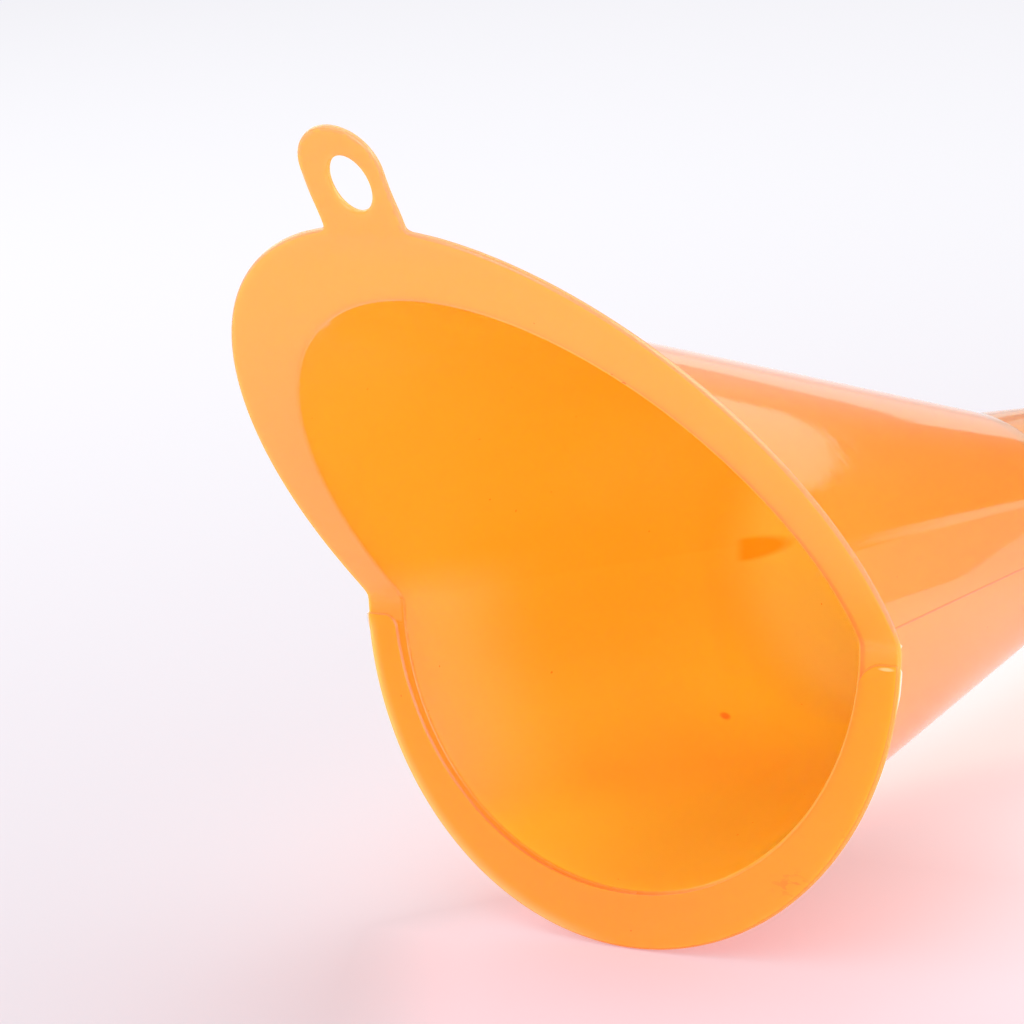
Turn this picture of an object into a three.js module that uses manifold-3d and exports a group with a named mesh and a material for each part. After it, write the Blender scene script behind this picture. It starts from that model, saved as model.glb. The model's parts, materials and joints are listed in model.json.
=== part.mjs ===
// Long-neck funnel for fuel and oil, lying on its lower rim and the tip of its spout.
// Four pieces: the moulded bowl, the push-on spout, and a strainer of a frame and a wire gauze disc.
// Each piece is built about the funnel's own axis: X runs along it, from the mouth plane at 0 towards
// the outlet, Z points to the raised lip and Y is the hinge line where the two mouth planes meet.
import * as THREE from 'three';
import { mergeVertices } from 'three/addons/utils/BufferGeometryUtils.js';
import Module from 'manifold-3d';

const wasm = await Module();
wasm.setup();

// Driving dimensions in millimetres and degrees
const mouthRadius = 50;
const coneHalfAngle = 12.4;
const wall = 1.2;
const flangeThickness = 1.2;
const gap = 0.3;

// Mouth: the lower half lies square to the axis, the upper half leans forward as a splash lip
const lipTilt = 44.4;
const lipCentre = 21.5;
const lipHalfWidth = 60.4;
const lipHalfLength = 86.3;
const lowerHalfWidth = 58.5;
const lowerDrop = 60.8;
const foldTuck = 0.6;
const cutterReach = 150;

// Hanging tab at the top of the lip
const tabBase = 106.3;
const tabLeanBack = 16.5;
const tabWidth = 17;
const tabLength = 21.2;
const tabHoleCentre = 10;
const tabHoleHalfWidth = 4.1;
const tabHoleHalfLength = 5.5;

// Neck: a short shoulder after the cone, then a slight taper
const coneLength = 120;
const shoulderLength = 1.5;
const neckEnd = 212;
const neckStartRadius = 23.9;
const neckHalfAngle = 3.2;
const neckWall = 1.3;

// Spout: a socket over the neck, a cone down to the tube, the tube and its slanted tip
const spoutWall = 1.6;
const socketStart = 190;
const beadLength = 4;
const beadRise = 1.6;
const socketStop = neckEnd + gap;
const reducerStart = 216;
const reducerEnd = 244;
const tubeBore = 12.5;
const tipBore = 8.5;
const spoutEnd = 350;
const tipSlant = 8;

// Vent ribs: they keep a gap for air between the spout and the filler neck
const ribCount = 4;
const ribThickness = 1.4;
const ribRadius = 17;
const ribStart = 234;
const ribEnd = 272;
const ribRunOut = 7;

// Strainer, seated on the cone just above the neck
const frameStart = 112;
const frameEnd = 118.5;
const frameBore = 20.8;
const grooveStart = 115.4;
const grooveEnd = 116.5;
const grooveRadius = 21.9;
const gauzeThickness = 0.5;
const spokeWidth = 1.6;
const loopHeight = 16;
const loopRodRadius = 1.1;
const loopFootDepth = 0.8;

const bowlSegments = 72;
const spoutSegments = 48;
const strainerSegments = 48;

const toRadians = THREE.MathUtils.degToRad;
const coneSlope = Math.tan(toRadians(coneHalfAngle));
const neckSlope = Math.tan(toRadians(neckHalfAngle));
const coneOuterRadius = mouthRadius + wall / Math.cos(toRadians(coneHalfAngle));

function coneInner(x) {
  return mouthRadius - x * coneSlope;
}

function coneOuter(x) {
  return coneOuterRadius - x * coneSlope;
}

function neckOuter(x) {
  return neckStartRadius - (x - coneLength - shoulderLength) * neckSlope;
}

// A closed solid from a geometry, with shared vertices merged and collapsed triangles dropped
function toSolid(geometry) {
  geometry.deleteAttribute('normal');
  geometry.deleteAttribute('uv');
  const merged = mergeVertices(geometry);
  const index = merged.index.array;
  const triangles = [];
  for (let i = 0; i < index.length; i += 3) {
    const [a, b, c] = [index[i], index[i + 1], index[i + 2]];
    if (a !== b && b !== c && c !== a) triangles.push(a, b, c);
  }
  return new wasm.Manifold(new wasm.Mesh({
    numProp: 3,
    vertProperties: new Float32Array(merged.attributes.position.array),
    triVerts: new Uint32Array(triangles),
  }));
}

// Points are [x along the axis, radius]; the outside runs towards +X
function revolve(points, segments) {
  const profile = points.map(([x, radius]) => new THREE.Vector2(radius, x));
  return toSolid(new THREE.LatheGeometry(profile, segments).rotateZ(-Math.PI / 2));
}

// A solid bar whose outside follows the points, capped on the axis at both ends
function revolveBar(points, segments) {
  const first = points[0][0];
  const last = points[points.length - 1][0];
  return revolve([[first, 0], ...points, [last, 0]], segments);
}

// Directions of a plate that stands square to the axis at tilt 0 and leans forward with more tilt
function plateMatrix(tilt, along = 0, alongTilt = tilt) {
  const angle = toRadians(tilt);
  const across = new THREE.Vector3(0, 1, 0);
  const up = new THREE.Vector3(-Math.sin(angle), 0, Math.cos(angle));
  const back = new THREE.Vector3(Math.cos(angle), 0, Math.sin(angle));
  const baseAngle = toRadians(alongTilt);
  const base = new THREE.Vector3(-Math.sin(baseAngle) * along, 0, Math.cos(baseAngle) * along);
  return new THREE.Matrix4().makeBasis(across, up, back).setPosition(base);
}

function plate(shape, matrix, curveSegments) {
  const geometry = new THREE.ExtrudeGeometry(shape, {
    depth: flangeThickness,
    bevelEnabled: false,
    curveSegments,
  });
  return toSolid(geometry.applyMatrix4(matrix));
}

// Lower half of the rim flange: half an ellipse, square to the axis
function lowerFlange() {
  const shape = new THREE.Shape();
  shape.absellipse(0, 0, lowerHalfWidth, lowerDrop, Math.PI, 2 * Math.PI);
  shape.closePath();
  return plate(shape, plateMatrix(0), 41);
}

// Upper flange: an ellipse whose centre lies above the hinge line, cut off at the fold
function lipFlange() {
  const foldAngle = Math.asin(lipCentre / lipHalfLength);
  const shape = new THREE.Shape();
  const foldHalfWidth = lipHalfWidth * Math.cos(foldAngle);
  shape.moveTo(-foldHalfWidth, -foldTuck);
  shape.lineTo(foldHalfWidth, -foldTuck);
  shape.absellipse(0, lipCentre, lipHalfWidth, lipHalfLength, -foldAngle, Math.PI + foldAngle);
  shape.closePath();
  return plate(shape, plateMatrix(lipTilt), 56);
}

// Hanging tab: straight sides, a round top and an oval hole, leaning back from the lip
function hangingTab() {
  const radius = tabWidth / 2;
  const shape = new THREE.Shape();
  shape.moveTo(-radius, 0);
  shape.lineTo(radius, 0);
  shape.absarc(0, tabLength - radius, radius, 0, Math.PI);
  shape.closePath();
  const hole = new THREE.Path();
  hole.absellipse(0, tabHoleCentre, tabHoleHalfWidth, tabHoleHalfLength, 0, 2 * Math.PI, true);
  shape.holes.push(hole);
  return plate(shape, plateMatrix(lipTilt - tabLeanBack, tabBase, lipTilt), 16);
}

// Everything in front of the two mouth planes
function frontOfMouth() {
  const angle = toRadians(lipTilt);
  const top = cutterReach * Math.cos(angle);
  const shape = new THREE.Shape([
    new THREE.Vector2(-cutterReach, -cutterReach),
    new THREE.Vector2(0, -cutterReach),
    new THREE.Vector2(0, 0),
    new THREE.Vector2(-cutterReach * Math.sin(angle), top),
    new THREE.Vector2(-cutterReach, top),
  ]);
  const geometry = new THREE.ExtrudeGeometry(shape, { depth: 2 * cutterReach, bevelEnabled: false });
  return toSolid(geometry.rotateX(Math.PI / 2).translate(0, cutterReach, 0));
}

function bowl() {
  const front = -(lipCentre + lipHalfLength) * Math.sin(toRadians(lipTilt)) - 10;
  const neckStart = coneLength + shoulderLength;
  const outside = revolveBar([
    [front, coneOuter(front)],
    [coneLength, coneOuter(coneLength)],
    [neckStart, neckOuter(neckStart)],
    [neckEnd, neckOuter(neckEnd)],
  ], bowlSegments);
  const beyond = neckEnd + 1;
  const inside = revolveBar([
    [front - 10, coneInner(front - 10)],
    [coneLength, coneInner(coneLength)],
    [neckStart, neckOuter(neckStart) - neckWall],
    [beyond, neckOuter(beyond) - neckWall],
  ], bowlSegments);
  return outside
    .subtract(frontOfMouth())
    .add(lowerFlange())
    .add(lipFlange())
    .add(hangingTab())
    .subtract(inside);
}

// One vent rib along the tube, in the XZ plane
function ventRib() {
  const shape = new THREE.Shape([
    new THREE.Vector2(ribStart, tubeBore),
    new THREE.Vector2(ribEnd + ribRunOut, tubeBore),
    new THREE.Vector2(ribEnd, ribRadius),
    new THREE.Vector2(ribStart, ribRadius),
  ]);
  const geometry = new THREE.ExtrudeGeometry(shape, { depth: ribThickness, bevelEnabled: false });
  return geometry.rotateX(Math.PI / 2).translate(0, ribThickness / 2, 0);
}

// The slanted cut at the tip leaves the underside longest
function tipCutter() {
  const radius = tipBore + 2 * spoutWall;
  const rise = tipSlant / (2 * (tipBore + spoutWall));
  const shape = new THREE.Shape([
    new THREE.Vector2(spoutEnd - (radius + tipBore + spoutWall) * rise, radius),
    new THREE.Vector2(spoutEnd + (radius - tipBore - spoutWall) * rise, -radius),
    new THREE.Vector2(spoutEnd + cutterReach, -radius),
    new THREE.Vector2(spoutEnd + cutterReach, radius),
  ]);
  const geometry = new THREE.ExtrudeGeometry(shape, { depth: 2 * radius, bevelEnabled: false });
  return toSolid(geometry.rotateX(Math.PI / 2).translate(0, radius, 0));
}

function spout() {
  const socketBore = (x) => neckOuter(x) + gap;
  const stopBore = neckOuter(neckEnd) - neckWall;
  const beadEnd = socketStart + beadLength;
  let body = revolveBar([
    [socketStart, socketBore(socketStart) + spoutWall + beadRise],
    [beadEnd, socketBore(beadEnd) + spoutWall + beadRise],
    [beadEnd + beadRise, socketBore(beadEnd) + spoutWall],
    [reducerStart, stopBore + 2 * spoutWall],
    [reducerEnd, tubeBore + spoutWall],
    [spoutEnd, tipBore + spoutWall],
  ], spoutSegments);
  for (let i = 0; i < ribCount; i += 1) {
    const turn = (2 * Math.PI * i) / ribCount + Math.PI / ribCount;
    body = body.add(toSolid(ventRib().rotateX(turn)));
  }
  const bore = revolveBar([
    [socketStart - 1, socketBore(socketStart - 1)],
    [socketStop, socketBore(socketStop)],
    [socketStop, stopBore],
    [reducerStart, stopBore],
    [reducerEnd, tubeBore],
    [spoutEnd, tipBore],
    [spoutEnd + 1, tipBore],
  ], spoutSegments);
  return body.subtract(bore).subtract(tipCutter());
}

// Lift loop: a thin rod arched across the ring on the mouth side
function liftLoop() {
  const footRadius = (frameBore + coneInner(frameStart)) / 2;
  const foot = frameStart + loopFootDepth;
  const points = [];
  for (let i = 0; i <= 16; i += 1) {
    const angle = (Math.PI * i) / 16;
    const x = foot - (loopHeight + loopFootDepth) * Math.sin(angle);
    points.push(new THREE.Vector3(x, 0, footRadius * Math.cos(angle)));
  }
  const section = new THREE.Shape();
  section.absarc(0, 0, loopRodRadius, 0, 2 * Math.PI);
  return toSolid(new THREE.ExtrudeGeometry(section, {
    extrudePath: new THREE.CatmullRomCurve3(points),
    steps: 32,
    curveSegments: 5,
  }));
}

function strainerFrame() {
  const ring = revolve([
    [frameStart, frameBore],
    [frameStart, coneInner(frameStart) - gap],
    [frameEnd, coneInner(frameEnd) - gap],
    [frameEnd, frameBore],
    [grooveEnd, frameBore],
    [grooveEnd, grooveRadius],
    [grooveStart, grooveRadius],
    [grooveStart, frameBore],
    [frameStart, frameBore],
  ], strainerSegments);
  const spokeDepth = frameEnd - grooveEnd;
  const spokeMiddle = (frameEnd + grooveEnd) / 2;
  const spokeLength = 2 * (frameBore + 1);
  let frame = ring.add(liftLoop());
  for (const size of [[spokeLength, spokeWidth], [spokeWidth, spokeLength]]) {
    const bar = new THREE.BoxGeometry(spokeDepth, ...size).translate(spokeMiddle, 0, 0);
    frame = frame.add(toSolid(bar));
  }
  return frame;
}

function strainerGauze() {
  const middle = (grooveStart + grooveEnd) / 2;
  return revolveBar([
    [middle - gauzeThickness / 2, grooveRadius - gap],
    [middle + gauzeThickness / 2, grooveRadius - gap],
  ], strainerSegments);
}

function toMesh(name, solid, color, roughness, metalness) {
  const surface = solid.getMesh();
  const geometry = new THREE.BufferGeometry();
  geometry.setAttribute('position', new THREE.BufferAttribute(surface.vertProperties, 3));
  geometry.setIndex(new THREE.BufferAttribute(surface.triVerts, 1));
  geometry.computeVertexNormals();
  const material = new THREE.MeshStandardMaterial({ color, roughness, metalness });
  const mesh = new THREE.Mesh(geometry, material);
  mesh.name = name;
  return mesh;
}

const orange = 0xff9f38;
const assembly = new THREE.Group();
assembly.add(toMesh('bowl', bowl(), orange, 0.35, 0));
assembly.add(toMesh('spout', spout(), orange, 0.35, 0));
assembly.add(toMesh('strainer_frame', strainerFrame(), orange, 0.4, 0));
assembly.add(toMesh('strainer_gauze', strainerGauze(), 0xb8b4aa, 0.35, 1));

// Lying pitch: the lower rim and the tip of the spout both touch the table
const rimContact = new THREE.Vector2(flangeThickness, lowerDrop);
const tipContact = new THREE.Vector2(spoutEnd, tipBore + spoutWall);
assembly.rotation.y = Math.atan((rimContact.y - tipContact.y) / (tipContact.x - rimContact.x));

// Origin under the middle of the lying funnel, on the table
const bounds = new THREE.Box3().setFromObject(assembly, true);
const middle = bounds.getCenter(new THREE.Vector3());
assembly.position.set(-middle.x, -middle.y, -bounds.min.z);

const funnel = new THREE.Group();
funnel.add(assembly);
export default funnel;
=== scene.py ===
import json
import math

import bmesh
import bpy
import numpy as np
from mathutils import Matrix, Vector


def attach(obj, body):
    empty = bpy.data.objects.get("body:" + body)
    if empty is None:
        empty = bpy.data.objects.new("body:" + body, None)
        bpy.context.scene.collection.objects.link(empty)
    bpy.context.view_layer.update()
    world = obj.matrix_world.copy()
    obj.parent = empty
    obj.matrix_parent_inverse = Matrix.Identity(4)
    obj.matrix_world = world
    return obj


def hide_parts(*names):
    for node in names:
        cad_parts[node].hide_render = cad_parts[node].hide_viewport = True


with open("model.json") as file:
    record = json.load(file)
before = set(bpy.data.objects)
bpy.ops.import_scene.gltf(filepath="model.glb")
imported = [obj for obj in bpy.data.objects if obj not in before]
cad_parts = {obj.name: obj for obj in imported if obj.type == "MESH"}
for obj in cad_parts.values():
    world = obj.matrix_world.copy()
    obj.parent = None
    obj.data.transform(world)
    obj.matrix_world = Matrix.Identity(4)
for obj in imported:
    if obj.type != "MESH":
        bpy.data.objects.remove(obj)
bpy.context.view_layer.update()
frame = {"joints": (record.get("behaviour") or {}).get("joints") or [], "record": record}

# Bowl, in millimetres and degrees
MOUTH_RADIUS = 50.0
CONE_HALF_ANGLE = 12.4
WALL = 1.2
FLANGE = 1.2
LIP_TILT = 44.4
LIP_CENTRE = 21.5
LIP_HALF_WIDTH = 60.4
LIP_HALF_LENGTH = 86.3
LOWER_HALF_WIDTH = 58.5
LOWER_DROP = 60.8
CONE_LENGTH = 120.0
SHOULDER = 1.5
NECK_END = 212.0
NECK_START_RADIUS = 23.9
NECK_HALF_ANGLE = 3.2
NECK_WALL = 1.3
RIM_MOUNT_DROP = 55.5

# Hanging tab
TAB_BASE = 106.3
TAB_LEAN = 16.5
TAB_BEND = 2.0
TAB_HALF_WIDTH = 8.5
TAB_TOP = 127.5
TAB_FILLET = 1.4
HOLE_CENTRE = 116.3
HOLE_HALF_WIDTH = 4.1
HOLE_HALF_LENGTH = 5.5
HOLE_SHIFT = -0.5
HOLE_ROUND = 0.5
TAB_SWAY = 0.5

# Rounding of the moulding
EDGE_ROUND = 0.42
MOUTH_ROUND = 0.6
ROOT_ROUND = 0.9
FOLD_SOFTNESS = 0.9

# Raised pad on the lower flange
PAD_START = 3.5
PAD_HEIGHT = 0.35
PAD_SLOPE = 0.4

# Points nearer than this on the outline are one point; points of its row under the tab
SAME_PLACE = 1e-4
BASE_POINTS = 19

# Columns of the bowl's mesh: each side of the cone, the flange's front, the rounds at the mouth and
# behind the flange, and the shoulder with the outside of the neck and its round end
CONE_COLUMNS = 18
FRONT_COLUMNS = 26
ROUND_COLUMNS = 6
OUTER_NECK_COLUMNS = 19
# How much of each column of the mouth's round is painted paler on its -Y side, as painted light, from the
# bore to the flange
BRIM_SHARES = (0.0, 1.0, 1.0, 1.0, 1.0, 0.4)

# Spout
SPOUT_WALL = 1.6
SOCKET_START = 190.0
SOCKET_GAP = 0.3
BEAD_LENGTH = 4.0
BEAD_RISE = 1.6
REDUCER_START = 216.0
REDUCER_END = 244.0
TUBE_BORE = 12.5
TIP_BORE = 8.5
SPOUT_END = 350.0
TIP_SLANT = 8.0
RIB_COUNT = 4
RIB_THICKNESS = 1.4
RIB_RADIUS = 17.0
RIB_START = 234.0
RIB_END = 272.0
RIB_RUNOUT = 7.0
# Places of the mesh's columns about a rib, in half thicknesses from its middle
RIB_CUTS = (-1.9, -1.5, -1.2, -1.0, -0.85, -0.7, -0.5, 0.0, 0.5, 0.7, 0.85, 1.0, 1.2, 1.5, 1.9)

# Strainer
FRAME_START = 112.0
FRAME_END = 118.5
FRAME_BORE = 20.8
GROOVE_START = 115.4
GROOVE_END = 116.5
GROOVE_RADIUS = 21.9
SPOKE_WIDTH = 1.6
SPOKE_ROUND = 0.35
LOOP_HEIGHT = 16.0
LOOP_ROD = 1.1
WIRE_PITCH = 1.15
WIRE_RADIUS = 0.14

# Camera: angles are from the funnel's own axis
VIEW_AZIMUTH = 36.1
VIEW_DROP = 8.18
VIEW_ROLL = 0.97
VIEW_DISTANCE = 949.0
VIEW_AIM = (-9.5, 17.8, 19.6)
VIEW_LENS = 184.26

# Table, and the painted pink pool and painted glow that stand in for the funnel's coloured shadow and the
# light through its plastic: colours, and lengths in metres
TABLE_SIZE = 3.0
TABLE_NEAR = (0.76, 0.725, 0.76, 1)
TABLE_FAR = (0.82, 0.815, 0.83, 1)
TABLE_PINK = (0.66, 0.55, 0.59, 1)
UNDER_LIGHT = (1.0, 0.92, 0.93, 1)
GLOW_LIGHT = (1.0, 0.72, 0.76, 1)
UNDER_GLOW = (0.75, 0.88, 0.92, 1)
GLOW_FRONT = (-0.55, 0.835, 0.0)
GLOW_FRONT_REACH = 0.1245
GLOW_SIDE = (0.447, 0.894, 0.0)
GLOW_SIDE_REACH = -0.0255
GLOW_CENTRE = (-0.05, -0.02, 0.0)
GLOW_EXTENT = (0.30, 0.20, 1.0)
GLOW_STRENGTH = 0.36
UNDER_STRENGTH = 0.45
FILL_STRENGTH = 0.08

# Studio: name, place, target, size, power, colour, and whether it lights the funnel only
LAMPS = (
    ("soft_top", (0.0, 0.5, 1.0), (-0.05, 0, 0.05), (1.4, 1.4), 5.0, (1.0, 1.0, 1.0), False),
    ("soft_front", (-1.4, -0.45, 0.6), (-0.1, 0, 0.06), (0.9, 0.9), 11.0, (1.0, 1.0, 1.0), True),
    ("soft_back", (0.15, 1.0, 0.45), (-0.05, 0, 0.06), (0.8, 0.6), 4.5, (1.0, 0.40, 0.25), True),
    ("soft_side", (0.2, -1.2, 0.5), (-0.05, 0, 0.06), (1.0, 0.9), 15.0, (1.0, 0.80, 0.70), True),
)
ROOM_WHITE = (0.97, 0.97, 1.0, 1)
ROOM_STRENGTH = 0.95

# Cards that show in the plastic's gloss: upright ones at an x with (y, z) outlines, flat ones with (x, y)
ROOM_END = 1.6
ROOM_OUTLINE = (
    (-1.2, 0.0), (0.30, 0.0), (0.36, 0.15), (0.45, 0.22), (0.56, 0.20), (0.80, 0.175), (0.80, 0.30),
    (0.50, 0.324), (0.40, 0.306), (0.25, 0.297), (0.13, 0.28), (0.03, 0.25), (-0.05, 0.22), (-0.10, 0.20),
    (-1.2, 0.20),
)
ROOM_NEAR = (0.55, 0.19, 0.18, 1)
ROOM_SIDE = (0.75, 0.52, 0.56, 1)
FLOOR_LIFT = 0.001
FLOOR_OUTLINE = (
    (0.86, -1.2), (0.86, -0.17), (0.93, -0.15), (0.97, -0.20), (1.06, -0.165), (1.10, -0.215), (1.18, -0.20),
    (1.22, -0.16), (1.30, -0.235), (1.38, -0.18), (1.45, -0.24), (1.6, -0.19), (1.6, -1.2),
)
CARD_OUTLINE = ((0.14, -0.6), (0.14, -0.07), (0.86, -0.07), (0.86, -0.6))
FLAG_END = -0.5
FLAG_OUTLINE = ((0.0, 0.0), (0.7, 0.0), (0.7, 0.3), (0.0, 0.3))
CARD_GREY = (0.62, 0.42, 0.42, 1)
FLAG_ORANGE = (0.60, 0.28, 0.12, 1)
FLOOR_DARK = (0.10, 0.10, 0.11, 1)

CONE_SLOPE = math.tan(math.radians(CONE_HALF_ANGLE))
NECK_SLOPE = math.tan(math.radians(NECK_HALF_ANGLE))
TILT = math.radians(LIP_TILT)
LEAN = math.radians(TAB_LEAN)
CONE_OUTER = MOUTH_RADIUS + WALL / math.cos(math.radians(CONE_HALF_ANGLE))
NECK_START = CONE_LENGTH + SHOULDER


def named(entries, name):
    for entry in entries:
        if entry["name"] == name:
            return entry
    raise ValueError(name)


AXIS = Vector(named(frame["joints"], "spout_pull")["axis"]).normalized()
ACROSS = Vector((0.0, 1.0, 0.0))
UP = AXIS.cross(ACROSS)
MOUTH = Vector(named(frame["record"]["mounts"], "lower_rim_face")["pos_m"]) + UP * RIM_MOUNT_DROP / 1000
TO_FRAME = Matrix((AXIS, ACROSS, UP)).transposed()


def placed(points):
    """Millimetres about the funnel's axis to metres in the frame."""
    turn = np.array(TO_FRAME)
    return np.asarray(points) / 1000 @ turn.T + np.array(MOUTH)


def cone_inner(x):
    return MOUTH_RADIUS - x * CONE_SLOPE


def neck_outer(x):
    return NECK_START_RADIUS - (x - NECK_START) * NECK_SLOPE


def smooth(t):
    t = np.clip(t, 0.0, 1.0)
    return t * t * (3 - 2 * t)


# ---- meshes

def build(name, points, faces, marks=None):
    """A mesh object of its own from points in axis millimetres, with named values on its vertices."""
    mesh = bpy.data.meshes.new(name)
    mesh.from_pydata(placed(points).tolist(), [], faces)
    mesh.validate()
    mesh.polygons.foreach_set("use_smooth", [True] * len(mesh.polygons))
    for mark, values in (marks or {}).items():
        layer = mesh.attributes.new(mark, "FLOAT", "POINT")
        layer.data.foreach_set("value", np.asarray(values, dtype=np.float32))
    mesh.update()
    piece = bpy.data.objects.new(name, mesh)
    bpy.context.scene.collection.objects.link(piece)
    return piece


def tidy_mesh(piece, distance=1e-6):
    """Shared vertices merged and all faces turned outwards."""
    work = bmesh.new()
    work.from_mesh(piece.data)
    bmesh.ops.remove_doubles(work, verts=work.verts, dist=distance)
    bmesh.ops.dissolve_degenerate(work, edges=work.edges, dist=distance / 4)
    bmesh.ops.recalc_face_normals(work, faces=work.faces)
    work.to_mesh(piece.data)
    work.free()
    piece.data.update()


def grid_faces(rows, cols, start=0, wrap_rows=True, wrap_cols=True, skip=None):
    faces = []
    last_row = rows if wrap_rows else rows - 1
    last_col = cols if wrap_cols else cols - 1
    for i in range(last_row):
        below = (i + 1) % rows
        for j in range(last_col):
            if skip is not None and skip(i, j):
                continue
            right = (j + 1) % cols
            faces.append((
                start + i * cols + j,
                start + i * cols + right,
                start + below * cols + right,
                start + below * cols + j,
            ))
    return faces


def fillet(before, corner, after, count):
    """Points of a round corner from before to after, both included, along axis 1."""
    t = np.linspace(0, 1, count)[None, :, None]
    a, b, c = before[:, None], corner[:, None], after[:, None]
    return a * (1 - t) ** 2 + 2 * b * t * (1 - t) + c * t * t


def along(a, b, fractions):
    f = np.asarray(fractions)[None, :, None]
    return a[:, None] * (1 - f) + b[:, None] * f


def unit(v):
    return v / np.linalg.norm(v, axis=-1, keepdims=True)


# ---- bowl

def ramp(z):
    """0 below the fold, z above it, with a small round between."""
    return (z + np.sqrt(z * z + FOLD_SOFTNESS ** 2)) / 2


def ramp_slope(z):
    return (1 + z / np.sqrt(z * z + FOLD_SOFTNESS ** 2)) / 2


def on_mouth(u, v, depth=0.0):
    """A point of the two mouth planes: u across, v up the plane from the fold, depth behind it."""
    z = np.where(v > 0, v * math.cos(TILT), v)
    slope = math.tan(TILT) * ramp_slope(z)
    size = np.sqrt(1 + slope * slope)
    x = -math.tan(TILT) * ramp(z) + depth / size
    up = z + depth * slope / size
    # The tab leans back from the lip over a short bend
    bend_start = TAB_BASE - TAB_BEND / 2
    s = np.maximum(v - bend_start, 0)
    bent = np.minimum(s, TAB_BEND)
    rate = LEAN / TAB_BEND
    angle = TILT - rate * bent
    rest = s - bent
    tab_x = -math.sin(TILT) * bend_start - (np.cos(angle) - math.cos(TILT)) / rate - np.sin(angle) * rest
    tab_z = math.cos(TILT) * bend_start + (math.sin(TILT) - np.sin(angle)) / rate + np.cos(angle) * rest
    tab_x = tab_x + depth * np.cos(angle)
    tab_z = tab_z + depth * np.sin(angle)
    on_tab = v > bend_start
    x = np.where(on_tab, tab_x, x)
    up = np.where(on_tab, tab_z, up)
    return np.stack(np.broadcast_arrays(x, u, up), axis=-1)


def plane_height(phi, radius):
    """v of the point at this angle and radius about the axis."""
    z = radius * np.sin(phi)
    return np.where(z > 0, z / math.cos(TILT), z)


def ellipse(t, half_width, half_length, centre=0.0):
    """Points of an ellipse at these angles and its outward normals there."""
    points = np.stack([half_width * np.cos(t), centre + half_length * np.sin(t)], axis=-1)
    return points, unit(np.stack([np.cos(t) / half_width, np.sin(t) / half_length], axis=-1))


def lip_point(t):
    return LIP_HALF_WIDTH * math.cos(t), LIP_CENTRE + LIP_HALF_LENGTH * math.sin(t)


def nearest_on_lip(u, v):
    """Distance to the lip's ellipse and the ellipse angle there."""
    t = math.atan2((v - LIP_CENTRE) / LIP_HALF_LENGTH, u / LIP_HALF_WIDTH)
    step = 0.02
    while step > 1e-7:
        here, less, more = (math.dist(lip_point(t + d), (u, v)) for d in (0, -step, step))
        if less < here:
            t -= step
        elif more < here:
            t += step
        else:
            step /= 2
    return math.dist(lip_point(t), (u, v)), t


def tab_fillet():
    """Centre of the round between the lip's edge and the tab's side, and where it meets the ellipse."""
    u = TAB_HALF_WIDTH + TAB_FILLET
    low = LIP_CENTRE + LIP_HALF_LENGTH * math.sqrt(1 - (u / LIP_HALF_WIDTH) ** 2)
    high = low + 3 * TAB_FILLET
    for _ in range(50):
        v = (low + high) / 2
        distance, t = nearest_on_lip(u, v)
        if distance < TAB_FILLET:
            low = v
        else:
            high = v
    return u, v, t


def upper_parts():
    """Parts of the lip's outline, each with its points, outward normals and whether it lies under the
    tab: the +Y half from the fold up to the tab, then the whole row under the tab."""
    fold = math.asin(LIP_CENTRE / LIP_HALF_LENGTH)
    near_fold = np.radians(3.0)
    centre_u, centre_v, t_end = tab_fillet()
    size = (LIP_HALF_WIDTH, LIP_HALF_LENGTH, LIP_CENTRE)
    touch = lip_point(t_end)
    start = math.atan2(touch[1] - centre_v, touch[0] - centre_u)
    a = np.linspace(start, -math.pi, 8)
    ring = np.stack([np.cos(a), np.sin(a)], axis=-1)
    u = np.linspace(TAB_HALF_WIDTH, -TAB_HALF_WIDTH, BASE_POINTS)
    base = np.stack([u, np.full_like(u, centre_v)], axis=-1)
    return (
        (*ellipse(np.linspace(-fold, -fold + near_fold, 10), *size), False),
        (*ellipse(np.linspace(-fold + near_fold, t_end, 96), *size), False),
        (np.array([centre_u, centre_v]) + TAB_FILLET * ring, -ring, False),
        (base, np.tile([0.0, 1.0], (BASE_POINTS, 1)), True),
    )


def lower_part():
    """The lower flange's outline from the -Y fold to the +Y fold, finer near the folds."""
    fine = np.radians(np.concatenate([np.arange(0.5, 3.0, 0.5), np.arange(3.0, 10.0, 0.25)]))
    middle = np.linspace(np.radians(10), np.pi - np.radians(10), 150)
    t = np.pi + np.concatenate([fine, middle, (np.pi - fine)[::-1]])
    return ellipse(t, LOWER_HALF_WIDTH, LOWER_DROP)


def outline():
    """The flange's outer outline once round: points, outward normals, and which lie under the tab."""
    points, normals, on_base = [], [], []
    for part_points, part_normals, under_tab in upper_parts():
        for p, n in zip(part_points, part_normals):
            if points and np.linalg.norm(points[-1] - p) < SAME_PLACE:
                on_base[-1] = on_base[-1] or under_tab
                continue
            points.append(p)
            normals.append(n)
            on_base.append(under_tab)
    # The -Y half mirrors the +Y half; the row under the tab was already made in full
    for k in range(len(points) - BASE_POINTS, -1, -1):
        p, n = points[k] * [-1, 1], normals[k] * [-1, 1]
        if np.linalg.norm(points[-1] - p) < SAME_PLACE:
            normals[-1] = n
            continue
        points.append(p)
        normals.append(n)
        on_base.append(False)
    lower, lower_normals = lower_part()
    on_base += [False] * len(lower)
    return np.array([*points, *lower]), np.array([*normals, *lower_normals]), np.array(on_base)


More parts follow.
